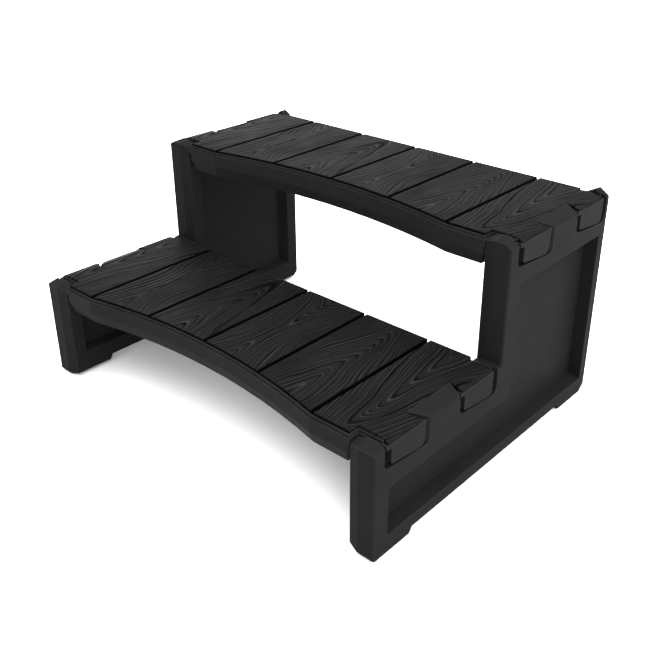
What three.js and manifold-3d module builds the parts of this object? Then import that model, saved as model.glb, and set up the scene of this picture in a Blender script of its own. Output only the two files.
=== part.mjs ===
// Two-step spa steps in black moulded resin. Two L-shaped side panels carry two identical
// treads. Each tread is a ribbed tray whose four hooks drop over the side panels, with six
// wood-grained boards lying in it and a hidden screw through each hook.
// Millimetres. +X runs along the treads, people climb from the -Y side, +Z is up, and the
// origin is on the ground under the middle of the steps.
import * as THREE from "three";
import { mergeVertices } from "three/addons/utils/BufferGeometryUtils.js";
import Module from "manifold-3d";

const wasm = await Module();
wasm.setup();

// Overall size.
const WIDTH = 813;
const RISE = 202;
const GOING = 315;
const DEPTH = 2 * GOING;
const GAP = 0.3;
const FAR = 60;

// Side panels. Depths (y) are measured from the front post and heights from the ground.
const PANEL = { thickness: 51, taperRun: 20, taperInset: 7, edge: 2.2 };
const OUTER_X = WIDTH / 2;
const INNER_X = OUTER_X - PANEL.thickness;
const FOOT = { front: 87, rear: 535, slope: 6, rail: 10.4, toe: 5, heelY: 15, heelZ: 12.5 };
const CAP = { depth: 23.5, rearStart: 299 };
const LOWER_CAP = { front: -10, back: -5, rear: -9 };
const UPPER_CAP = { front: -3, back: 1, rear: 2.7 };
const CROWN = { ridgeX: 387, ridgeZ: 2.7, outerZ: -10.5, innerZ: -15 };
const OUTER_RECESS = {
  front: 32, rear: 609, riser: 347, floor: 34, step: 121, top: 327, deep: 26, rise: 5.5, lean: 0,
};
const INNER_RECESS = {
  front: 31, rear: 596, riser: 347, floor: 47, step: 132, top: 335, deep: 20, rise: 8, lean: 14,
};
const SADDLE = -19.3;
const SLOT = { x: 396, bottom: [-46, -55], radius: [10, 15] };
SLOT.frontHook = [20.8, 128];
SLOT.rearHook = [203, 305.5];
const THROAT = { x: 384, bottom: -41, front: [CAP.depth, 34], rear: [204, 212] };
const TONGUE = { x: 380.3, front: [103, 126.5], rear: [209, 201], fall: 8.6, roll: 3 };

// Treads. Depths are measured from the step's front post and heights from the board tops.
const ARC = { half: 276.5, sagitta: 32.5 };
const ARC_RADIUS = (ARC.half ** 2 + ARC.sagitta ** 2) / (2 * ARC.sagitta);
const ARC_DROP = Math.sqrt(ARC_RADIUS ** 2 - ARC.half ** 2);
const BOARDS = 6;
const BOARD_PITCH = 138.25;
const BOARD_GAP = 6;
const LIP = {
  front: 5.8, end: 353.8, notch: 26.5, outer: 406.2, slit: 379.7,
  hookFront: [101, 116.5], hookRear: [211, 205], hookBack: 293.5, back: 298, top: -8.5,
};
const RIM = {
  front: 8.8, end: 351.6, notch: 29.5, outer: 396, slit: 370,
  hookFront: [90, 90], hookRear: [220, 220], hookBack: 280, back: 290, top: -4.3,
};
const BOARD = {
  front: 12, end: 349.4, notch: 32.5, outer: 404, slit: 379,
  hookFront: [100.3, 109], hookRear: [211.6, 209], hookBack: 288.5, back: 296.5, top: 0,
};
const BACK_STEP_X = 360;
const BED = -14;
const DECK = -19;
const WALL = 4.5;
const FASCIA = { knee: -33, bottom: -54, inset: 8, corner: 9.5 };
const RIB = { thick: 3, bottom: -53.6, along: [82, 153, 224], across: 9 };
const PLATE = { x: 398, bottom: [-42.5, -52], radius: [3, 15] };
PLATE.frontHook = [37.5, 115.5];
PLATE.rearHook = [215.5, 293.5];
const NOSE = { x: 397.5, z: -14.8 };
const BOARD_LAP_X = 396;
const BOARD_EASE = 1;
const BOARD_FALL = { x: 384, outerZ: -4.6 };

// Screws: countersunk, one down through each hook's flange into the side panel.
const SCREW = { x: 388, y: [66, 250], head: 4.3, shank: 2, cone: 2.6, length: 17 };

const STYLE = {
  panel: { color: 0x1b1b1d, roughness: 0.42, metalness: 0 },
  tray: { color: 0x19191a, roughness: 0.36, metalness: 0 },
  board: { color: 0x161617, roughness: 0.5, metalness: 0 },
  steel: { color: 0x9a9c9f, roughness: 0.3, metalness: 1 },
};

// ---------- solids ----------

// A closed geometry as a solid that can be joined and cut.
function solid(geometry) {
  const bare = geometry.clone();
  bare.deleteAttribute("normal");
  bare.deleteAttribute("uv");
  const merged = mergeVertices(bare, 1e-4);
  const vertProperties = merged.attributes.position.array;
  const triVerts = new Uint32Array(merged.index.array);
  return new wasm.Manifold(new wasm.Mesh({ numProp: 3, vertProperties, triVerts }));
}

function geometryOf(body) {
  const mesh = body.getMesh();
  const geometry = new THREE.BufferGeometry();
  geometry.setAttribute("position", new THREE.BufferAttribute(mesh.vertProperties, 3));
  geometry.setIndex(new THREE.BufferAttribute(mesh.triVerts, 1));
  geometry.computeVertexNormals();
  return geometry;
}

const union = (bodies) => bodies.reduce((all, body) => all.add(body));

function block(x0, x1, y0, y1, z0, z1) {
  const box = new THREE.BoxGeometry(x1 - x0, y1 - y0, z1 - z0);
  return solid(box.translate((x0 + x1) / 2, (y0 + y1) / 2, (z0 + z1) / 2));
}

const outline = (points) => new THREE.Shape(points.map(([u, v]) => new THREE.Vector2(u, v)));

// Turns an extrusion so that it runs along the named axis. The flat outline's own two
// coordinates become Y and Z, X and Z, or X and Y.
const TURN = {
  x: new THREE.Matrix4().set(0, 0, 1, 0, 1, 0, 0, 0, 0, 1, 0, 0, 0, 0, 0, 1),
  y: new THREE.Matrix4().set(1, 0, 0, 0, 0, 0, -1, 0, 0, 1, 0, 0, 0, 0, 0, 1),
  z: new THREE.Matrix4(),
};

// A prism of the outline between two positions on the axis. With run and inset, both ends
// taper: over the last run millimetres the outline shrinks by inset. With shrink, the whole
// prism stays that much inside the outline. Each arc is split into twice smooth steps.
function prism(axis, shape, from, to, { run = 0, inset = 0, shrink = 0, smooth = 6 } = {}) {
  const geometry = new THREE.ExtrudeGeometry(shape, {
    depth: to - from - 2 * run,
    steps: 1,
    curveSegments: smooth,
    bevelEnabled: run > 0,
    bevelThickness: run,
    bevelSize: inset,
    bevelOffset: -inset - shrink,
    bevelSegments: 1,
  });
  const start = axis === "y" ? run - to : from + run;
  geometry.translate(0, 0, start);
  return solid(geometry.applyMatrix4(TURN[axis]));
}

// ---------- side panel ----------

// The L-shaped outline in depth and height, with feet, rail and cap heights.
function panelOutline() {
  const upperTop = 2 * RISE;
  return outline([
    [FOOT.toe, 0],
    [FOOT.front, 0],
    [FOOT.front + FOOT.slope, FOOT.rail],
    [FOOT.rear - FOOT.slope, FOOT.rail],
    [FOOT.rear, 0],
    [DEPTH - FOOT.heelY, 0],
    [DEPTH, FOOT.heelZ],
    [DEPTH, upperTop + UPPER_CAP.rear],
    [GOING + CAP.rearStart, upperTop + UPPER_CAP.rear],
    [GOING + CAP.depth, upperTop + UPPER_CAP.back],
    [GOING, upperTop + UPPER_CAP.front],
    [GOING, RISE + LOWER_CAP.rear],
    [CAP.rearStart, RISE + LOWER_CAP.rear],
    [CAP.depth, RISE + LOWER_CAP.back],
    [0, RISE + LOWER_CAP.front],
    [0, FOOT.toe],
  ]);
}

function recessOutline({ front, rear, riser, floor, step, top }) {
  return outline([
    [front, floor],
    [rear, floor],
    [rear, top],
    [riser, top],
    [riser, step],
    [front, step],
  ]);
}

// A recess in the panel's face at x, cut towards side (1 or -1). Going inwards its bottom
// ledge rises and its rear wall leans forward.
function recess(shape, face, side) {
  const { front, rear, floor, top, deep, rise, lean } = shape;
  const bed = face + side * deep;
  const mouth = face - side;
  const ledge = outline([
    [face, floor],
    [bed + side, floor + rise],
    [bed + side, floor - 1],
    [face, floor - 1],
  ]);
  const wall = outline([
    [face, rear],
    [bed + side, rear - lean],
    [bed + side, rear + 1],
    [face, rear + 1],
  ]);
  const pocket = prism("x", recessOutline(shape), Math.min(bed, mouth), Math.max(bed, mouth));
  const floored = pocket.subtract(prism("y", ledge, front - 1, rear + 1));
  return lean > 0 ? floored.subtract(prism("z", wall, floor - 1, top + 1)) : floored;
}

// The outline in depth and height of a hook plate or of the slot it hangs in. The bottom
// edge falls towards the back and its two corners are rounded.
function plateOutline([front, rear], { bottom, radius }, top) {
  const slope = (bottom[1] - bottom[0]) / (rear - front);
  const [fore, aft] = radius;
  const shape = new THREE.Shape();
  shape.moveTo(front, top);
  shape.lineTo(front, bottom[0] + fore);
  shape.quadraticCurveTo(front, bottom[0], front + fore, bottom[0] + slope * fore);
  shape.lineTo(rear - aft, bottom[1] - slope * aft);
  shape.quadraticCurveTo(rear, bottom[1], rear, bottom[1] + aft);
  shape.lineTo(rear, top);
  return shape;
}

// The tongue that stands between the two hooks of a tread, its top falling outwards.
function tongue() {
  const { fall, roll } = TONGUE;
  const plan = outline([
    [TONGUE.x, TONGUE.front[0]],
    [OUTER_X, TONGUE.front[1]],
    [OUTER_X, TONGUE.rear[1]],
    [TONGUE.x, TONGUE.rear[0]],
  ]);
  const profile = new THREE.Shape();
  profile.moveTo(TONGUE.x - 1, SLOT.bottom[1] - 1);
  profile.lineTo(OUTER_X, SLOT.bottom[1] - 1);
  const slope = fall / (OUTER_X - TONGUE.x);
  profile.lineTo(OUTER_X, -fall - roll);
  profile.quadraticCurveTo(OUTER_X, -fall, OUTER_X - roll, slope * roll - fall);
  profile.lineTo(TONGUE.x, 0);
  profile.lineTo(TONGUE.x - 1, 0);
  return prism("z", plan, SLOT.bottom[1] - 1, FAR).intersect(prism("y", profile, 0, GOING));
}

// What a tread's seat takes out of the panel: the saddle, the slots for the hook plates and
// a deeper throat at the front of each slot.
function seatCut() {
  const frontSlot = plateOutline(SLOT.frontHook, SLOT, FAR);
  const rearSlot = plateOutline(SLOT.rearHook, SLOT, FAR);
  return union([
    block(INNER_X - 1, OUTER_X + 1, CAP.depth, CAP.rearStart, SADDLE, FAR),
    prism("x", frontSlot, SLOT.x, OUTER_X + 1, { smooth: 3 }),
    prism("x", rearSlot, SLOT.x, OUTER_X + 1, { smooth: 3 }),
    block(THROAT.x, SLOT.x + 1, ...THROAT.front, THROAT.bottom, 0),
    block(THROAT.x, SLOT.x + 1, ...THROAT.rear, THROAT.bottom, 0),
  ]);
}

// The upper caps fall away outwards from a ridge, and the rear one inwards as well.
function crownCut() {
  const outward = outline([
    [CROWN.ridgeX, CROWN.ridgeZ],
    [OUTER_X + 1, CROWN.outerZ],
    [OUTER_X + 1, FAR],
    [CROWN.ridgeX, FAR],
  ]);
  const inward = outline([
    [CROWN.ridgeX, CROWN.ridgeZ],
    [CROWN.ridgeX, FAR],
    [INNER_X - 1, FAR],
    [INNER_X - 1, CROWN.innerZ],
  ]);
  return union([
    prism("y", outward, -1, GOING + 1),
    prism("y", inward, CAP.rearStart - 1, GOING + 1),
  ]);
}

function screwHoles() {
  const drill = new THREE.CylinderGeometry(SCREW.shank + GAP, SCREW.shank + GAP, FAR, 12);
  drill.rotateX(Math.PI / 2);
  const top = BED - SCREW.length - 2 + FAR / 2;
  return union(SCREW.y.map((y) => solid(drill.clone().translate(SCREW.x, y, top))));
}

// The right-hand panel: tapered all round its inner edge and recessed on both faces.
function sidePanel() {
  const edge = panelOutline();
  const { thickness, taperRun: run, taperInset: inset } = PANEL;
  const tapered = prism("x", edge, INNER_X, OUTER_X + thickness, { run, inset });
  const eased = prism("x", edge, INNER_X - FAR, OUTER_X, { run: PANEL.edge, inset: PANEL.edge });
  const outside = recess(OUTER_RECESS, OUTER_X, -1);
  const inside = recess(INNER_RECESS, INNER_X, 1);
  let panel = tapered.intersect(eased).subtract(outside).subtract(inside);
  const steps = [[0, RISE], [GOING, 2 * RISE]];
  for (const [y, z] of steps) {
    panel = panel.subtract(seatCut().translate([0, y, z]));
    panel = panel.add(tongue().translate([0, y, z]));
    panel = panel.subtract(screwHoles().translate([0, y, z]));
  }
  return panel.subtract(crownCut().translate([0, GOING, 2 * RISE]));
}

// ---------- tread ----------

// The front edge is an arc curving in between two short straight stretches.
function frontArc(shape, fromX, toX, front) {
  const centre = front - ARC_DROP;
  const from = Math.acos(fromX / ARC_RADIUS);
  const to = Math.acos(toX / ARC_RADIUS);
  shape.absarc(0, centre, ARC_RADIUS, from, to, toX > fromX);
}

// One end of a tread in plan, from the front edge round the cap notch, the front hook, the
// tongue's slit and the rear hook to the back edge.
function endPoints(level, side) {
  const points = [
    [level.end, level.front],
    [level.end, level.notch],
    [level.outer, level.notch],
    [level.outer, level.hookFront[1]],
    [level.slit, level.hookFront[0]],
    [level.slit, level.hookRear[0]],
    [level.outer, level.hookRear[1]],
    [level.outer, level.hookBack],
    [BACK_STEP_X, level.hookBack],
    [BACK_STEP_X, level.back],
  ];
  return points.map(([x, y]) => [side * x, y]);
}

// A whole tread in plan at one level.
function treadOutline(level) {
  const shape = new THREE.Shape();
  shape.moveTo(-ARC.half, level.front);
  frontArc(shape, -ARC.half, ARC.half, level.front);
  endPoints(level, 1).forEach(([x, y]) => shape.lineTo(x, y));
  endPoints(level, -1).reverse().forEach(([x, y]) => shape.lineTo(x, y));
  return shape;
}

// The tray between the panels in plan, without its hooks.
function bodyOutline(corner) {
  const shape = new THREE.Shape();
  const { end, front, back } = LIP;
  const quarter = Math.PI / 2;
  shape.moveTo(-ARC.half, front);
  frontArc(shape, -ARC.half, ARC.half, front);
  if (corner === 0) {
    [[end, front], [end, back], [-end, back], [-end, front]].forEach((p) => shape.lineTo(...p));
    return shape;
  }
  shape.lineTo(end - corner, front);
  shape.absarc(end - corner, front + corner, corner, 3 * quarter, 4 * quarter);
  shape.absarc(end - corner, back - corner, corner, 0, quarter);
  shape.absarc(corner - end, back - corner, corner, quarter, 2 * quarter);
  shape.absarc(corner - end, front + corner, corner, 2 * quarter, 3 * quarter);
  return shape;
}

// The skirt of the tray: upright, then undercut below the knee.
function skirt(shape, top, shrink) {
  const run = FASCIA.knee - FASCIA.bottom;
  const taper = { run, inset: FASCIA.inset, shrink, smooth: 6 };
  const body = prism("z", shape, FASCIA.bottom, top + 2 * run, taper);
  return body.intersect(block(-WIDTH, WIDTH, -GOING, 2 * GOING, FASCIA.bottom - 1, top));
}

function ribs() {
  const { end, front, back } = LIP;
  const half = RIB.thick / 2;
  const spacing = BOARD_PITCH / 2;
  const middle = (RIB.across - 1) / 2;
  const made = RIB.along.map((y) => block(-end, end, y - half, y + half, RIB.bottom, DECK));
  for (let i = -middle; i <= middle; i += 1) {
    const x = i * spacing;
    made.push(block(x - half, x + half, front, back, RIB.bottom, DECK));
  }
  return union(made);
}

// The two plates at one end of a tread that hang in the panel's slots.
function hookPlates(side) {
  const [from, to] = side > 0 ? [PLATE.x, LIP.outer] : [-LIP.outer, -PLATE.x];
  const front = plateOutline(PLATE.frontHook, PLATE, LIP.top);
  const rear = plateOutline(PLATE.rearHook, PLATE, LIP.top);
  return union([front, rear].map((plate) => prism("x", plate, from, to, { smooth: 3 })));
}

// Thins the lip where it juts out ahead of each hook plate.
function noseCuts() {
  const made = [];
  const noses = [[LIP.notch, PLATE.frontHook[0]], [LIP.hookRear[1], PLATE.rearHook[0]]];
  for (const [y0, y1] of noses) {
    made.push(block(NOSE.x, WIDTH, y0 - 1, y1, DECK - 1, NOSE.z));
    made.push(block(-WIDTH, -NOSE.x, y0 - 1, y1, DECK - 1, NOSE.z));
  }
  return union(made);
}

function countersinks() {
  const sink = new THREE.LatheGeometry([
    new THREE.Vector2(0, -SCREW.length),
    new THREE.Vector2(SCREW.shank + GAP, -SCREW.length),
    new THREE.Vector2(SCREW.shank + GAP, -SCREW.cone),
    new THREE.Vector2(SCREW.head + GAP, 0),
    new THREE.Vector2(SCREW.head + GAP, 2),
    new THREE.Vector2(0, 2),
  ], 12).rotateX(Math.PI / 2);
  const made = [];
  for (const x of [-SCREW.x, SCREW.x]) {
    for (const y of SCREW.y) made.push(solid(sink.clone().translate(x, y, BED)));
  }
  return union(made);
}

// A level's outline grown by a clearance, for the bed that the boards lie in.
function grown(level, by) {
  return {
    ...level,
    front: level.front - by,
    end: level.end + by,
    notch: level.notch - by,
    outer: level.outer + by,
    slit: LIP.slit + 1,
    hookFront: [LIP.hookFront[1], LIP.hookFront[1] + 1],
    hookRear: [LIP.hookRear[1], LIP.hookRear[1] - 1],
    hookBack: level.hookBack + by,
    back: level.back + by,
  };
}

function tray() {
  const lipPlan = treadOutline(LIP);
  const flange = prism("z", lipPlan, DECK, LIP.top);
  const rim = prism("z", treadOutline(RIM), DECK, RIM.top);
  const bed = prism("z", treadOutline(grown({ ...BOARD, outer: BOARD_LAP_X }, 0.4)), BED, FAR);
  const hollow = skirt(bodyOutline(0), DECK, WALL).subtract(ribs());
  const skirts = skirt(bodyOutline(FASCIA.corner), LIP.top, 0).subtract(hollow);
  const plates = hookPlates(1).add(hookPlates(-1));
  const hooks = plates.intersect(prism("z", lipPlan, PLATE.bottom[1] - 1, LIP.top));
  const whole = union([skirts, flange, rim, hooks]);
  return whole.subtract(bed).subtract(countersinks()).subtract(noseCuts());
}

// A board between two cross positions, its front edge on the tread's arc.
function plainBoard(x0, x1) {
  const shape = new THREE.Shape();
  shape.moveTo(x1, BOARD.back);
  shape.lineTo(x0, BOARD.back);
  frontArc(shape, x0, x1, BOARD.front);
  const ease = { run: BOARD_EASE, inset: BOARD_EASE, smooth: 2 };
  return prism("z", shape, BED + GAP, BOARD.top, ease);
}

// The right-hand end board, with its edges laid over the two hooks and falling outwards.
function endBoard(x0) {
  const plan = (level) => {
    const points = endPoints(level, 1);
    return outline([[x0, level.back], [x0, level.front], ...points]);
  };
  const ease = { run: BOARD_EASE, inset: BOARD_EASE };
  const lower = plan({ ...BOARD, outer: BOARD_LAP_X });
  const lap = prism("z", plan(BOARD), LIP.top + GAP, BOARD.top, ease);
  const over = outline([
    [BOARD_FALL.x, BOARD.top],
    [BOARD.outer, BOARD_FALL.outerZ],
    [BOARD.outer + 1, FAR],
    [BOARD_FALL.x, FAR],
  ]);
  const whole = prism("z", lower, BED + GAP, BOARD.top, ease).add(lap);
  return whole.subtract(prism("y", over, 0, GOING));
}

// ---------- assembly ----------

function part(name, body, style) {
  const geometry = body.isBufferGeometry ? body : geometryOf(body);
  const mesh = new THREE.Mesh(geometry, new THREE.MeshStandardMaterial(style));
  mesh.name = name;
  return mesh;
}

function boards(step) {
  const edge = BOARD_GAP / 2;
  const made = [];
  for (let i = 0; i < BOARDS; i += 1) {
    const x0 = (i - BOARDS / 2) * BOARD_PITCH + edge;
    const name = `board_${step}_${i + 1}`;
    if (i > 0 && i < BOARDS - 1) {
      const x1 = x0 + BOARD_PITCH - BOARD_GAP;
      made.push(part(name, plainBoard(x0, x1), STYLE.board));
      continue;
    }
    const end = part(name, endBoard(ARC.half + edge), STYLE.board);
    if (i === 0) end.scale.x = -1;
    made.push(end);
  }
  return made;
}

function screws(step) {
  const profile = [
    new THREE.Vector2(0, -SCREW.length),
    new THREE.Vector2(SCREW.shank, -SCREW.length + 2),
    new THREE.Vector2(SCREW.shank, -SCREW.cone),
    new THREE.Vector2(SCREW.head, -GAP),
    new THREE.Vector2(0, -GAP),
  ];
  const made = [];
  for (const [side, x] of [["left", -SCREW.x], ["right", SCREW.x]]) {
    SCREW.y.forEach((y, i) => {
      const body = solid(new THREE.LatheGeometry(profile, 12).rotateX(Math.PI / 2));
      const screw = part(`screw_${step}_${side}_${i + 1}`, body, STYLE.steel);
      screw.position.set(x, y, BED);
      made.push(screw);
    });
  }
  return made;
}

function tread(step) {
  const group = new THREE.Group();
  group.add(part(`tray_${step}`, tray(), STYLE.tray));
  group.add(...boards(step), ...screws(step));
  return group;
}

const steps = new THREE.Group();
const right = part("side_panel_right", sidePanel(), STYLE.panel);
const left = part("side_panel_left", sidePanel(), STYLE.panel);
left.scale.x = -1;
right.position.y = -GOING;
left.position.y = -GOING;

const lowerTread = tread("lower");
lowerTread.position.set(0, -GOING, RISE);
const upperTread = tread("upper");
upperTread.position.set(0, 0, 2 * RISE);
steps.add(left, right, lowerTread, upperTread);

export default steps;
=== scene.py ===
"""Two-step spa steps in black moulded resin, with treads of wood-grained boards.

The side panels and trays are the CAD nodes with eased edges and a moulded-resin material, and
the screws are the CAD nodes in plated steel. Each board is a fine mesh of its own, with the wood
grain embossed in its top.
"""

import math

import bpy
import numpy as np
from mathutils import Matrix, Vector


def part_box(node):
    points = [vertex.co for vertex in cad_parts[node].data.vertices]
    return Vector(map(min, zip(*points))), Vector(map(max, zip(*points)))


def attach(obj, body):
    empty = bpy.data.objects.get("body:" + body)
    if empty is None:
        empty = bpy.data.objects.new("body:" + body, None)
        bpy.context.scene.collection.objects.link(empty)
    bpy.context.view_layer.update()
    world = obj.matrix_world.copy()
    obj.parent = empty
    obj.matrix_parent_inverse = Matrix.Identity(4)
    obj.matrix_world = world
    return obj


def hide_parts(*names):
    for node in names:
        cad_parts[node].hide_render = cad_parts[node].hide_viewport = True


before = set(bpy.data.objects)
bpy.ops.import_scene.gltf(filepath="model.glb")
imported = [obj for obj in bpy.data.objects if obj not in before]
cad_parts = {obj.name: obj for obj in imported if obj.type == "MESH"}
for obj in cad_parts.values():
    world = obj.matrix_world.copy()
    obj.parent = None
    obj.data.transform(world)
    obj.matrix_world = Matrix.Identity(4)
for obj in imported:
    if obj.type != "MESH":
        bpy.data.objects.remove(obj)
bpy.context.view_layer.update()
MM = 0.001

# ---------- sizes of the boards, in millimetres from a tread's front post and top ----------

# The front edge bows in along an arc, and the four plain boards span it.
ARC_HALF = 276.5
ARC_SAGITTA = 32.5
ARC_RADIUS = (ARC_HALF**2 + ARC_SAGITTA**2) / (2 * ARC_SAGITTA)
ARC_DROP = math.sqrt(ARC_RADIUS**2 - ARC_HALF**2)
BOARD_PITCH = ARC_HALF / 2
BOARD_GAP = 6.0
TRAY_FRONT, FRONT, BACK = 5.8, 12.0, 296.5

# An end board goes round the panel's post and laps over two hooks, with an open bay between the
# laps. The bay runs from HOOK_FRONT to HOOK_REAR, each given at HOOK_X and at TIP_X.
NOTCH_X, NOTCH_Y = 349.4, 32.5
HOOK_X, LAP_X, TIP_X = 379.0, 396.0, 404.0
HOOK_FRONT = (100.3, 109.0)
HOOK_REAR = (211.6, 209.0)
HOOK_BACK = 288.5
BACK_STEP_X = 360.0
LAP_Z, UNDER_Z = -8.2, -13.7
TOLERANCE = 0.01

# The rounded edges: the plain ones, and the outer edge over the hooks, which falls outwards.
EASE = 1.7
ROLL = 4.5
FALL_X, FALL_Z = 384.0, 4.0

# The mesh grid, and how deep the grain is cut in it. The grain fades over the outer roll, and
# on the rounded edges it keeps at least the share EDGE_GRAIN of its depth.
STEP_X, STEP_Y = 0.45, 1.5
GRAIN_DEPTH = 0.75
ROLL_GRAIN, ROLL_FADE = 0.4, 0.35
EDGE_GRAIN = 0.25

# Painted shade beside the gaps: a dark strip where the relief is raised to full, which also cuts
# the board a little deeper. Its width, and the width that it fades over. It is narrower by
# FRONT_LIGHT along the front edge.
GAP_SHADE, GAP_FADE, FRONT_LIGHT = 1.7, 0.9, 0.7
SHARP_ANGLE = math.radians(50)

# ---------- noise and wood grain ----------


def lattice_noise(x, y, seed):
    """Smooth noise between -1 and 1 on a unit lattice, the same on every run."""
    cells = 64
    values = np.random.default_rng(seed).uniform(-1, 1, (cells, cells))
    cell_x, cell_y = np.floor(x).astype(int), np.floor(y).astype(int)

    def at(right, up):
        return values[(cell_x + right) % cells, (cell_y + up) % cells]

    def eased(share):
        return share * share * (3 - 2 * share)

    share_x, share_y = eased(x - cell_x), eased(y - cell_y)
    low = at(0, 0) * (1 - share_x) + at(1, 0) * share_x
    high = at(0, 1) * (1 - share_x) + at(1, 1) * share_x
    return low * (1 - share_y) + high * share_y


# How each board's figure lies: how far its heart line is from the board's middle, how deep
# the heart is under the surface at the front, middle and back, and how far apart its rings
# are. Rings show as rounded arches that open towards wherever the heart is shallow.
FIGURES = [
    {"heart": 18, "depths": (64, 34, 6), "pitch": 12.6, "seed": 11},
    {"heart": -12, "depths": (30, 62, 8), "pitch": 11.6, "seed": 23},
    {"heart": 2, "depths": (4, 40, 80), "pitch": 10.0, "seed": 37},
    {"heart": -6, "depths": (20, 52, 0), "pitch": 8.4, "seed": 41},
    {"heart": 8, "depths": (0, 34, 82), "pitch": 8.4, "seed": 59},
    {"heart": 2, "depths": (78, 30, 2), "pitch": 8.8, "seed": 67},
]
ARCH_TIP = 9.0
RING_SPREAD = 1.2

# The profile across one ring: a groove, then a crest part of a ring further on, with two fine
# lines to each ring. Places and widths are in rings. Depths run from 0 to 1.
GROOVE_WIDTH = 0.12
CREST_PLACE, CREST_WIDTH = 0.25, 0.09
FINE_WIDTH = 0.15
FACE_DEPTH = 0.36


def ridge(phase, place, width):
    """A soft ridge: 1 where the phase is at its place, falling to 0 within about two widths."""
    return np.exp(-(((phase - place) / width) ** 2))


def grain_relief(x, y, figure):
    """How deep the embossed grain is cut at (x, y) on a board, from 0 on a crest to 1."""
    seed = figure["seed"]
    along = (y - FRONT) / (BACK - FRONT)
    front, middle, back = figure["depths"]
    depth = front * (1 - along) * (1 - 2 * along) + middle * 4 * along * (1 - along)
    depth += back * along * (2 * along - 1)
    # Each wave is its height times noise that is stretched across and along the board.
    sway = 9 * lattice_noise(x / 90 + 5, y / 100, seed)
    sway += 3 * lattice_noise(x / 26, y / 45, seed + 1)
    across = np.hypot(x - figure["heart"] + sway, ARCH_TIP)
    radius = RING_SPREAD * across + depth + 6 * lattice_noise(x / 34, y / 85 + 7, seed + 2)
    ring = radius / figure["pitch"] + 0.5 * lattice_noise(radius / 12, 0 * y + 0.5, seed + 3)
    phase = ring - np.round(ring)
    strength = 0.72 + 0.5 * lattice_noise(x / 14, y / 60, seed + 4)
    groove = ridge(phase, 0, GROOVE_WIDTH) * strength
    crest = ridge(phase, CREST_PLACE, CREST_WIDTH) * strength
    halves = ring * 2 + 0.6
    fine = ridge(halves - np.round(halves), 0, FINE_WIDTH)
    fine *= np.clip(0.3 + lattice_noise(x / 24, y / 80, seed + 5), 0, 1)
    fibre = lattice_noise(ring * 4, y / 40, seed + 6)
    return np.clip(FACE_DEPTH + 0.6 * groove - 0.36 * crest + 0.34 * fine + 0.07 * fibre, 0, 1)


# ---------- board meshes ----------


def spaced(stops, step):
    """Grid lines through every stop, closer together beside each one."""
    lines = []
    for low, high in zip(stops, stops[1:]):
        count = max(1, round((high - low) / step))
        lines.extend(np.linspace(low, high, count, endpoint=False))
        if high - low > 4 * EASE:
            lines.extend([low + 0.25 * EASE, high - 0.25 * EASE])
    lines.append(stops[-1])
    return np.unique(np.round(lines, 4))


def arc_front(x):
    """The front edge's depth at x: an arc between two straight ends."""
    inside = np.clip(np.abs(x), 0, ARC_HALF)
    return FRONT + np.sqrt(ARC_RADIUS**2 - inside**2) - ARC_DROP


def edge_drop(distance, radius):
    """How far a rounded edge has fallen at a distance inside it."""
    inside = np.clip(radius - distance, 0, radius)
    return radius - np.sqrt(radius**2 - inside**2)


def plain_board(index):
    """Grid points, kept cells, edge drop, outward fall and middle of a plain board."""
    left = (index - len(FIGURES) / 2) * BOARD_PITCH + BOARD_GAP / 2
    right = left + BOARD_PITCH - BOARD_GAP
    xs, ys = spaced([left, right], STEP_X), spaced([FRONT, BACK], STEP_Y)
    grid_x, grid_y = np.meshgrid(xs, ys, indexing="ij")
    start = arc_front(grid_x)
    y = start + (grid_y - FRONT) / (BACK - FRONT) * (BACK - start)
    near = np.minimum.reduce([grid_x - left, right - grid_x, y - start, BACK - y])
    keep = np.ones((len(xs) - 1, len(ys) - 1), bool)
    return grid_x, y, keep, edge_drop(near, EASE), 0 * grid_x, (left + right) / 2


def notch_distance(from_side, from_end):
    """Distance to a notch, from the signed distances to its side and its end."""
    return np.hypot(np.clip(from_side, 0, None), np.clip(from_end, 0, None))


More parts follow.
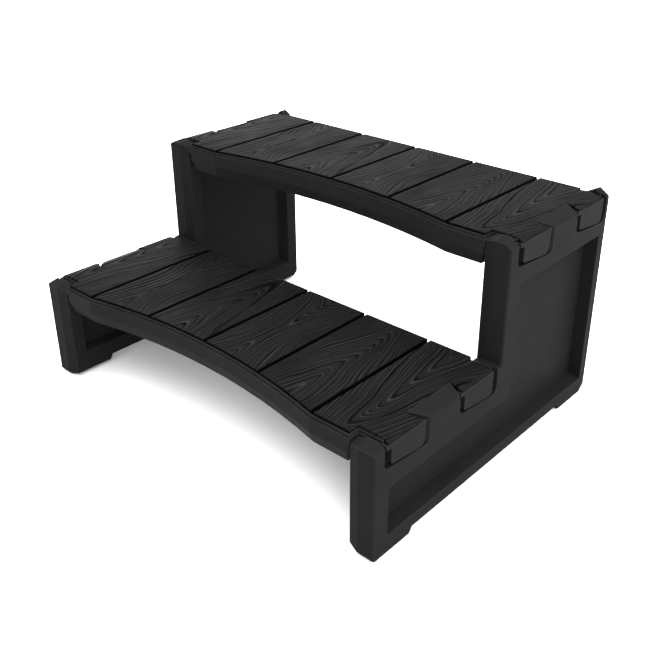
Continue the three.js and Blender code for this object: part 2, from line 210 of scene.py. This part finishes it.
def end_board():
    """The same for the right-hand end board, which laps over the two hooks."""
    left = ARC_HALF + BOARD_GAP / 2
    bay_front, bay_rear = HOOK_FRONT[0], HOOK_REAR[0]
    xs = spaced([left, NOTCH_X, BACK_STEP_X, HOOK_X, LAP_X, TIP_X], STEP_X)
    ys = spaced([FRONT, NOTCH_Y, bay_front, bay_rear, HOOK_BACK, BACK], STEP_Y)
    grid_x, grid_y = np.meshgrid(xs, ys, indexing="ij")
    cell_x = (grid_x[1:, 1:] + grid_x[:-1, :-1]) / 2
    cell_y = (grid_y[1:, 1:] + grid_y[:-1, :-1]) / 2
    notch = (cell_x > NOTCH_X) & (cell_y < NOTCH_Y)
    bay = (cell_x > HOOK_X) & (cell_y > bay_front) & (cell_y < bay_rear)
    step = (cell_x > BACK_STEP_X) & (cell_y > HOOK_BACK)
    out = np.clip((grid_x - HOOK_X) / (TIP_X - HOOK_X), 0, 1)
    stretch_front = 1 + out * (HOOK_FRONT[1] - bay_front) / (bay_front - NOTCH_Y)
    stretch_rear = 1 + out * (bay_rear - HOOK_REAR[1]) / (HOOK_BACK - bay_rear)
    hook_front = NOTCH_Y + (grid_y - NOTCH_Y) * stretch_front
    hook_rear = HOOK_BACK - (HOOK_BACK - grid_y) * stretch_rear
    y = np.where(grid_y <= bay_front, np.where(grid_y > NOTCH_Y, hook_front, grid_y), grid_y)
    y = np.where((grid_y >= bay_rear) & (grid_y < HOOK_BACK), hook_rear, y)
    middle_y = (bay_front + bay_rear) / 2
    bay_y = (bay_rear - bay_front) / 2 - np.abs(grid_y - middle_y)
    near = np.minimum.reduce([
        grid_x - left,
        grid_y - FRONT,
        BACK - grid_y,
        notch_distance(NOTCH_X - grid_x, grid_y - NOTCH_Y),
        notch_distance(BACK_STEP_X - grid_x, HOOK_BACK - grid_y),
        notch_distance(HOOK_X - grid_x, -bay_y),
    ])
    fall = FALL_Z * np.clip((grid_x - FALL_X) / (TIP_X - FALL_X), 0, 1)
    drop = np.maximum(edge_drop(near, EASE), edge_drop(TIP_X - grid_x, ROLL))
    return grid_x, y, ~(notch | bay | step), drop, fall, (left + TIP_X) / 2


def boundary_loop(quads):
    """The vertices round the edge of a sheet of quads, in order."""
    edges = set()
    for quad in quads:
        edges.update(zip(quad, np.roll(quad, -1)))
    follow = {start: end for start, end in edges if (end, start) not in edges}
    loop = [next(iter(sorted(follow)))]
    while follow[loop[-1]] != loop[0]:
        loop.append(follow[loop[-1]])
    return loop


def board_sheet(index):
    """The top of a plain or right-hand board: its points, its quads and the grain's relief, with
    painted shade beside the gaps and the front edge.
    """
    end = index in (0, len(FIGURES) - 1)
    x, y, keep, drop, fall, middle = end_board() if end else plain_board(index)
    relief = grain_relief(x - middle, y, FIGURES[index])
    rolled = end & (x > TIP_X - ROLL)
    relief = np.where(rolled, ROLL_GRAIN + ROLL_FADE * (relief - ROLL_GRAIN), relief)
    # Painted shade: beside the gaps and along the front edge the relief is raised to full, which
    # paints the board dark there.
    edge = np.minimum(x - x.min(), y - arc_front(x) + FRONT_LIGHT)
    if not end:
        edge = np.minimum(edge, x.max() - x)
    relief = np.maximum(relief, np.clip((GAP_SHADE - edge) / GAP_FADE, 0, 1))
    flat = np.clip(1 - drop / EASE, EDGE_GRAIN, 1)
    z = -drop - fall - GRAIN_DEPTH * relief * flat
    points = np.stack([x.ravel(), y.ravel(), z.ravel()], axis=-1)
    number = np.arange(x.size).reshape(x.shape)
    corners = [number[:-1, :-1], number[1:, :-1], number[1:, 1:], number[:-1, 1:]]
    quads = np.stack([corner[keep] for corner in corners], axis=-1)
    return points, quads.tolist(), relief.ravel()


def walls_and_bottom(loop, lap, under, over_hook):
    """The faces under a board's rim. Over a hook the board stops at the lap's height."""
    count = len(loop)
    faces = []
    for i in range(count):
        j = (i + 1) % count
        faces.append([loop[j], loop[i], lap[i], lap[j]])
        if not (over_hook[i] or over_hook[j]):
            faces.append([lap[j], lap[i], under[i], under[j]])
    starts = [i for i in range(count) if over_hook[i] and not over_hook[i - 1]]
    for start in starts:
        stop = start
        while over_hook[stop % count]:
            stop += 1
        ledge = [(start - 1) % count] + [k % count for k in range(start, stop + 1)]
        faces.append([lap[k] for k in reversed(ledge)])
        first, last = ledge[0], ledge[-1]
        faces.append([lap[first], under[first], under[last], lap[last]])
    bottom = [under[k] for k in range(count) if not over_hook[k]]
    faces.append(bottom[::-1])
    return faces


def used_only(points, faces, values):
    """The points that some face uses, with the faces and values to match."""
    used = np.zeros(len(points), bool)
    for face in faces:
        used[face] = True
    renumber = np.cumsum(used) - 1
    return points[used], [[int(renumber[k]) for k in face] for face in faces], values[used]


def board_mesh(name, index):
    """A closed board, its tread's top at z = 0. Board 0 is built on the right and mirrored."""
    sheet, faces, relief = board_sheet(index)
    loop = boundary_loop(faces)
    rim = sheet[loop]
    count = len(loop)
    lap = len(sheet) + np.arange(count)
    under = lap + count
    levels = [sheet]
    for level in (LAP_Z, UNDER_Z):
        ring = rim.copy()
        ring[:, 2] = level
        levels.append(ring)
    over_hook = rim[:, 0] > LAP_X + TOLERANCE
    faces = faces + walls_and_bottom(loop, lap, under, over_hook)
    # Painted shade: the walls and bottom take full relief, so they are painted as dark as the
    # deepest groove.
    depth = np.concatenate([relief, np.ones(2 * count)])
    points, faces, depth = used_only(np.concatenate(levels), faces, depth)
    if index == 0:
        points[:, 0] *= -1
        faces = [face[::-1] for face in faces]
    mesh = bpy.data.meshes.new(name)
    mesh.from_pydata((points * MM).tolist(), [], faces)
    attribute = mesh.attributes.new("relief", "FLOAT", "POINT")
    attribute.data.foreach_set("value", depth.astype(np.float32))
    mesh.validate()
    mesh.shade_smooth()
    mesh.set_sharp_from_angle(angle=SHARP_ANGLE)
    return mesh


# ---------- materials ----------


# The painted highlight on edges: how far it reaches from an edge, and the cosines of the surface's
# turn at which it begins and is full.
EDGE_REACH = 2.2 * MM
TURN_BEGINS, TURN_FULL = 0.985, 0.85
EDGE_SAMPLES = 8


class Nodes:
    """A material's node tree, built one node at a time."""

    def __init__(self, name):
        self.material = bpy.data.materials.new(name)
        self.material.use_nodes = True
        self.tree = self.material.node_tree
        self.shader = self.tree.nodes["Principled BSDF"]
        place = self.tree.nodes.new("ShaderNodeTexCoord")
        self.place = place.outputs["Object"]

    def link(self, output, socket):
        self.tree.links.new(output, socket)

    def drive(self, name, output):
        """Links an output to one of the shader's own sockets."""
        self.link(output, self.shader.inputs[name])

    def noise(self, scale, detail, stretch=None):
        """Noise with about this many lumps to a metre."""
        node = self.tree.nodes.new("ShaderNodeTexNoise")
        node.inputs["Scale"].default_value = scale
        node.inputs["Detail"].default_value = detail
        vector = self.place
        if stretch:
            mapping = self.tree.nodes.new("ShaderNodeMapping")
            mapping.inputs["Scale"].default_value = stretch
            self.link(self.place, mapping.inputs["Vector"])
            vector = mapping.outputs["Vector"]
        self.link(vector, node.inputs["Vector"])
        return node.outputs["Fac"]

    def spread(self, value, low, high, to_low, to_high):
        """The value, taken from between low and high to between to_low and to_high."""
        node = self.tree.nodes.new("ShaderNodeMapRange")
        levels = {"From Min": low, "From Max": high, "To Min": to_low, "To Max": to_high}
        for socket, level in levels.items():
            node.inputs[socket].default_value = level
        self.link(value, node.inputs["Value"])
        return node.outputs["Result"]

    def maths(self, operation, first, second):
        node = self.tree.nodes.new("ShaderNodeMath")
        node.operation = operation
        for socket, value in zip(node.inputs, (first, second)):
            if isinstance(value, (int, float)):
                socket.default_value = value
            else:
                self.link(value, socket)
        return node.outputs["Value"]

    def blend(self, factor, first, second):
        node = self.tree.nodes.new("ShaderNodeMix")
        node.data_type = "RGBA"
        self.link(factor, node.inputs["Factor"])
        # The sockets for colours, which share their names with the ones for numbers.
        for socket, colour in ((node.inputs[6], first), (node.inputs[7], second)):
            if isinstance(colour, tuple):
                socket.default_value = (*colour, 1)
            else:
                self.link(colour, socket)
        return node.outputs[2]

    def bump(self, height, strength, distance):
        node = self.tree.nodes.new("ShaderNodeBump")
        node.inputs["Strength"].default_value = strength
        node.inputs["Distance"].default_value = distance
        self.link(height, node.inputs["Height"])
        return node.outputs["Normal"]

    def edges(self):
        """1 beside a sharp edge, where the surface turns, and 0 on the flats."""
        turned = self.tree.nodes.new("ShaderNodeBevel")
        turned.samples = EDGE_SAMPLES
        turned.inputs["Radius"].default_value = EDGE_REACH
        surface = self.tree.nodes.new("ShaderNodeNewGeometry")
        dot = self.tree.nodes.new("ShaderNodeVectorMath")
        dot.operation = "DOT_PRODUCT"
        self.link(turned.outputs["Normal"], dot.inputs[0])
        self.link(surface.outputs["Normal"], dot.inputs[1])
        return self.spread(dot.outputs["Value"], TURN_BEGINS, TURN_FULL, 0, 1)


# The pale tone of the painted edge highlight, and how much smoother the edges are made.
EDGE_HIGHLIGHT_TONE = (0.018, 0.018, 0.0183)
EDGE_POLISH = 0.1


def moulded_resin(name, dark, light, rough, gloss):
    """Black resin with a fine moulded texture, faint mottling and edges painted pale as a
    highlight.
    """
    nodes = Nodes(name)
    mottle = nodes.noise(9, 6)
    speck = nodes.noise(420, 2)
    tone = nodes.maths("ADD", mottle, nodes.maths("MULTIPLY", speck, 0.35))
    resin = nodes.blend(nodes.spread(tone, 0.45, 0.9, 0, 1), dark, light)
    patches = nodes.spread(nodes.noise(26, 5), 0.35, 0.6, 0.25, 1)
    # Painted highlight: the edges are painted pale, in patches, and made a little glossier.
    edge_highlight = nodes.maths("MULTIPLY", nodes.edges(), patches)
    nodes.drive("Base Color", nodes.blend(edge_highlight, resin, EDGE_HIGHLIGHT_TONE))
    streak = nodes.spread(nodes.noise(24, 5, (1, 1, 0.3)), 0.3, 0.7, -0.03, 0.04)
    dull = nodes.maths("ADD", streak, rough)
    polish = nodes.maths("MULTIPLY", edge_highlight, EDGE_POLISH)
    nodes.drive("Roughness", nodes.maths("SUBTRACT", dull, polish))
    nodes.drive("Normal", nodes.bump(nodes.noise(1100, 2), 0.12, 0.0002))
    nodes.shader.inputs["Specular IOR Level"].default_value = gloss
    return nodes.material


def grained_resin(name, groove_shade_tone, middle, crest_highlight_tone, rough, gloss):
    """The boards' resin: crests painted pale as a highlight along the grain, grooves matt and
    painted nearly black as shade.
    """
    nodes = Nodes(name)
    cut = nodes.tree.nodes.new("ShaderNodeAttribute")
    cut.attribute_name = "relief"
    depth = cut.outputs["Fac"]
    fibre = nodes.noise(1, 5, (900, 45, 900))
    # Painted highlight: the crests are painted pale towards the crest tone, in patches.
    highlight_patches = nodes.spread(nodes.maths("ADD", nodes.noise(11, 5), fibre), 0.7, 1.3, 0.6, 1.0)
    crest = nodes.maths("MULTIPLY", nodes.spread(depth, 0.34, 0.02, 0, 1), highlight_patches)
    upper = nodes.blend(crest, middle, crest_highlight_tone)
    # Painted shade: the grooves are painted nearly black, and they are also made rougher.
    groove = nodes.spread(depth, 0.42, 0.82, 0, 1)
    nodes.drive("Base Color", nodes.blend(groove, upper, groove_shade_tone))
    wear = nodes.spread(nodes.noise(16, 4), 0.3, 0.7, rough - 0.03, rough + 0.05)
    nodes.drive("Roughness", nodes.maths("ADD", wear, nodes.maths("MULTIPLY", groove, 0.25)))
    nodes.drive("Normal", nodes.bump(fibre, 0.3, 0.0003))
    nodes.shader.inputs["Specular IOR Level"].default_value = gloss
    return nodes.material


def plated_steel(name):
    """Zinc plate, brushed by the turning of the screw."""
    nodes = Nodes(name)
    brushed = nodes.noise(1, 3, (60, 60, 2400))
    nodes.drive("Base Color", nodes.blend(brushed, (0.42, 0.43, 0.44), (0.66, 0.66, 0.65)))
    nodes.drive("Roughness", nodes.spread(brushed, 0.3, 0.7, 0.24, 0.4))
    nodes.shader.inputs["Metallic"].default_value = 1
    return nodes.material


PANEL_RESIN = moulded_resin(
    "panel_resin", (0.007, 0.007, 0.0071), (0.0083, 0.0083, 0.0085), 0.42, 0.004
)
TRAY_RESIN = moulded_resin(
    "tray_resin", (0.0074, 0.0074, 0.0075), (0.0088, 0.0088, 0.009), 0.42, 0.005
)
# The board colours: a painted shade tone for the grooves and a painted highlight tone for the
# crests.
BOARD_RESIN = grained_resin(
    "board_resin",
    groove_shade_tone=(0.0006, 0.0006, 0.0006),
    middle=(0.0048, 0.0048, 0.0049),
    crest_highlight_tone=(0.018, 0.018, 0.0183),
    rough=0.46,
    gloss=0.012,
)
SCREW_STEEL = plated_steel("screw_steel")

# ---------- the CAD nodes that show ----------

# Faces within PLANE_ANGLE of each other are one plane, and edges over EASED_ANGLE are rounded.
PLANE_ANGLE = math.radians(1)
EASED_ANGLE = math.radians(32)


def dress(node, material, edge):
    """Gives a CAD node its material and rounds its sharp edges."""
    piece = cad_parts[node]
    piece.data.materials.clear()
    piece.data.materials.append(material)
    if edge:
        flat = piece.modifiers.new("planes", "DECIMATE")
        flat.decimate_type = "DISSOLVE"
        flat.angle_limit = PLANE_ANGLE
        bevel = piece.modifiers.new("eased_edges", "BEVEL")
        bevel.width = edge
        bevel.segments = 3
        bevel.limit_method = "ANGLE"
        bevel.angle_limit = EASED_ANGLE
        bevel.harden_normals = True
        piece.data.shade_smooth()
        piece.data.set_sharp_from_angle(angle=EASED_ANGLE)


for side in ("left", "right"):
    dress(f"side_panel_{side}", PANEL_RESIN, 1.3 * MM)
for step in ("lower", "upper"):
    dress(f"tray_{step}", TRAY_RESIN, 0.7 * MM)
    for side in ("left", "right"):
        for number in (1, 2):
            dress(f"screw_{step}_{side}_{number}", SCREW_STEEL, 0)

# ---------- the boards ----------

for index in range(len(FIGURES)):
    mesh = board_mesh(f"grained_board_{index + 1}", index)
    mesh.materials.append(BOARD_RESIN)
    for step in ("lower", "upper"):
        node = f"board_{step}_{index + 1}"
        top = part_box(node)[1].z
        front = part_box(f"tray_{step}")[0].y - TRAY_FRONT * MM
        board = bpy.data.objects.new(f"grained_{node}", mesh)
        board.location = (0, front, top)
        bpy.context.scene.collection.objects.link(board)
        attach(board, "root")
        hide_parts(node)

# ---------- floor, light and camera ----------


def studio_floor():
    """A wide pale floor just under the feet."""
    size, z = 14.0, -0.0005
    corners = [(-size, -size, z), (size, -size, z), (size, size, z), (-size, size, z)]
    mesh = bpy.data.meshes.new("studio_floor")
    mesh.from_pydata(corners, [], [(0, 1, 2, 3)])
    floor = bpy.data.objects.new("studio_floor", mesh)
    bpy.context.scene.collection.objects.link(floor)
    nodes = Nodes("pale_floor")
    nodes.drive("Base Color", nodes.blend(nodes.noise(0.8, 2), (0.9, 0.9, 0.9), (0.93, 0.93, 0.93)))
    nodes.shader.inputs["Roughness"].default_value = 0.9
    nodes.shader.inputs["Specular IOR Level"].default_value = 0.1
    mesh.materials.append(nodes.material)


# The studio light by direction, on top of an even ROOM_LIGHT. Each bank has its axis, where it
# begins and is full along that axis, and its brightness: one overhead, one on the right, one on
# the left and one behind.
ROOM_LIGHT = 0.66
LIGHT_BANKS = (
    ("Z", 0.5, 0.9, 4.5),
    ("X", 0.25, 0.8, 3.6),
    ("X", -0.45, -0.85, 2.2),
    ("Y", 0.2, 0.7, 1.05),
)


def studio_light():
    """Soft light from all round, added up from the banks of light."""
    world = bpy.data.worlds.new("studio")
    bpy.context.scene.world = world
    world.use_nodes = True
    tree = world.node_tree
    place = tree.nodes.new("ShaderNodeTexCoord")
    parts = tree.nodes.new("ShaderNodeSeparateXYZ")
    tree.links.new(place.outputs["Generated"], parts.inputs["Vector"])
    total = None
    for axis, low, high, bright in LIGHT_BANKS:
        bank = tree.nodes.new("ShaderNodeMapRange")
        bank.interpolation_type = "SMOOTHSTEP"
        levels = {"From Min": low, "From Max": high, "To Min": 0, "To Max": bright}
        for name, level in levels.items():
            bank.inputs[name].default_value = level
        tree.links.new(parts.outputs[axis], bank.inputs["Value"])
        add = tree.nodes.new("ShaderNodeMath")
        add.operation = "ADD"
        tree.links.new(bank.outputs["Result"], add.inputs[0])
        add.inputs[1].default_value = ROOM_LIGHT
        if total is not None:
            tree.links.new(total, add.inputs[1])
        total = add.outputs["Value"]
    background = tree.nodes["Background"]
    background.inputs["Color"].default_value = (1, 1, 1, 1)
    tree.links.new(total, background.inputs["Strength"])


studio_floor()
studio_light()

CAMERA_YAW, CAMERA_PITCH, CAMERA_ROLL = 41.92, 26.10, 0.08
camera = bpy.data.cameras.new("camera")
camera.lens = 47.37
camera.sensor_width = 36
camera.shift_x = -0.0053
camera.shift_y = -0.0746
viewer = bpy.data.objects.new("camera", camera)
viewer.location = (1.0192, -1.0698, 0.9284)
viewer.rotation_euler = (
    math.radians(90 - CAMERA_PITCH),
    math.radians(CAMERA_ROLL),
    math.radians(CAMERA_YAW),
)
bpy.context.scene.collection.objects.link(viewer)
bpy.context.scene.camera = viewer
bpy.context.scene.view_settings.view_transform = "Standard"
